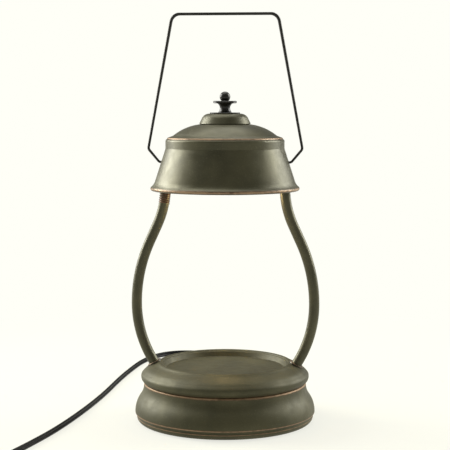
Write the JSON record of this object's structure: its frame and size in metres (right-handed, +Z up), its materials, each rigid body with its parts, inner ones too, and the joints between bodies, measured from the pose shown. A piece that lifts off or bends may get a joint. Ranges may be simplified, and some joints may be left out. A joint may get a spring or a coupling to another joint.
{
  "type": "candle warmer lamp",
  "caption": "Lantern-shaped electric candle warmer: bowed tube arms carry a lidded spun-metal hood and its lamp over a round base, with a swinging bail handle and a corded switch.",
  "frame": {"origin": "on the table under the middle of the round base, on the rubber feet's undersides", "axes": "+Z up, +X along the line through both arms, -Y towards the front, +Y towards the cord's exit"},
  "size_m": [0.2562, 0.5666, 0.3715],
  "materials": {
    "bronze": "oil-rubbed bronze, satin, with copper-brown rubbed edges",
    "plate_steel": "dark painted sheet steel",
    "zinc_steel": "zinc-plated steel",
    "foot_rubber": "black rubber",
    "black_gloss": "gloss black lacquer",
    "ceramic": "white porcelain",
    "bulb_glass": "pressed glass",
    "lead_sleeve": "heat-resistant sleeve",
    "cord_black": "glossy black flexible PVC",
    "switch_black": "black moulded plastic",
    "contact_brass": "brass"
  },
  "bodies": {
    "lamp": {"base_top": "bronze", "base_skirt": "bronze", "base_bottom_plate": "plate_steel", "base_posts": "plate_steel", "base_screws": "zinc_steel", "base_feet": "foot_rubber", "arm_left": "bronze", "arm_right": "bronze", "arm_foot_collars": "bronze", "arm_foot_wedges": "plate_steel", "arm_foot_nuts": "zinc_steel", "arm_top_nuts": "zinc_steel", "hood_shade": "bronze", "hood_dome": "bronze", "hood_cap": "bronze", "cap_washer": "black_gloss", "finial": "black_gloss", "hood_rod": "zinc_steel", "hood_rod_nuts": "zinc_steel", "hood_yoke": "plate_steel", "lamp_holder": "ceramic", "holder_screws": "zinc_steel", "lead_live": "lead_sleeve", "lead_neutral": "lead_sleeve", "wire_block": "ceramic", "cord_cores": "lead_sleeve", "strain_relief": "cord_black", "cord_lamp_side": "cord_black", "cord_switch_side": "cord_black", "cord_coil": "cord_black", "cord_plug_end": "cord_black", "switch_bottom": "switch_black", "switch_top": "switch_black", "rocker_pin": "zinc_steel", "switch_contacts": "contact_brass", "switch_screws": "zinc_steel", "plug_body": "cord_black", "plug_blades": "contact_brass"},
    "bail": {"bail_handle": "bronze"},
    "bulb": {"bulb_reflector": "bulb_glass", "bulb_cover": "bulb_glass", "bulb_capsule": "bulb_glass", "bulb_base": "ceramic", "bulb_pins": "zinc_steel"},
    "rocker": {"switch_rocker": "switch_black"}
  },
  "joints": [
    {"name": "bail_swing", "type": "hinge", "parent": "lamp", "child": "bail", "pos_m": [0, 0, 0.2371], "axis": [1, 0, 0], "range_deg": [-145, 145]},
    {"name": "switch_rocker_tilt", "type": "hinge", "parent": "lamp", "child": "rocker", "pos_m": [-0.049, -0.246, 0.0106], "axis": [0, 1, 0], "range_deg": [-16, 0]},
    {"name": "bulb_twist", "type": "hinge", "parent": "lamp", "child": "bulb", "pos_m": [0, 0, 0.2555], "axis": [0, 0, 1], "range_deg": [0, 20]}
  ]
}
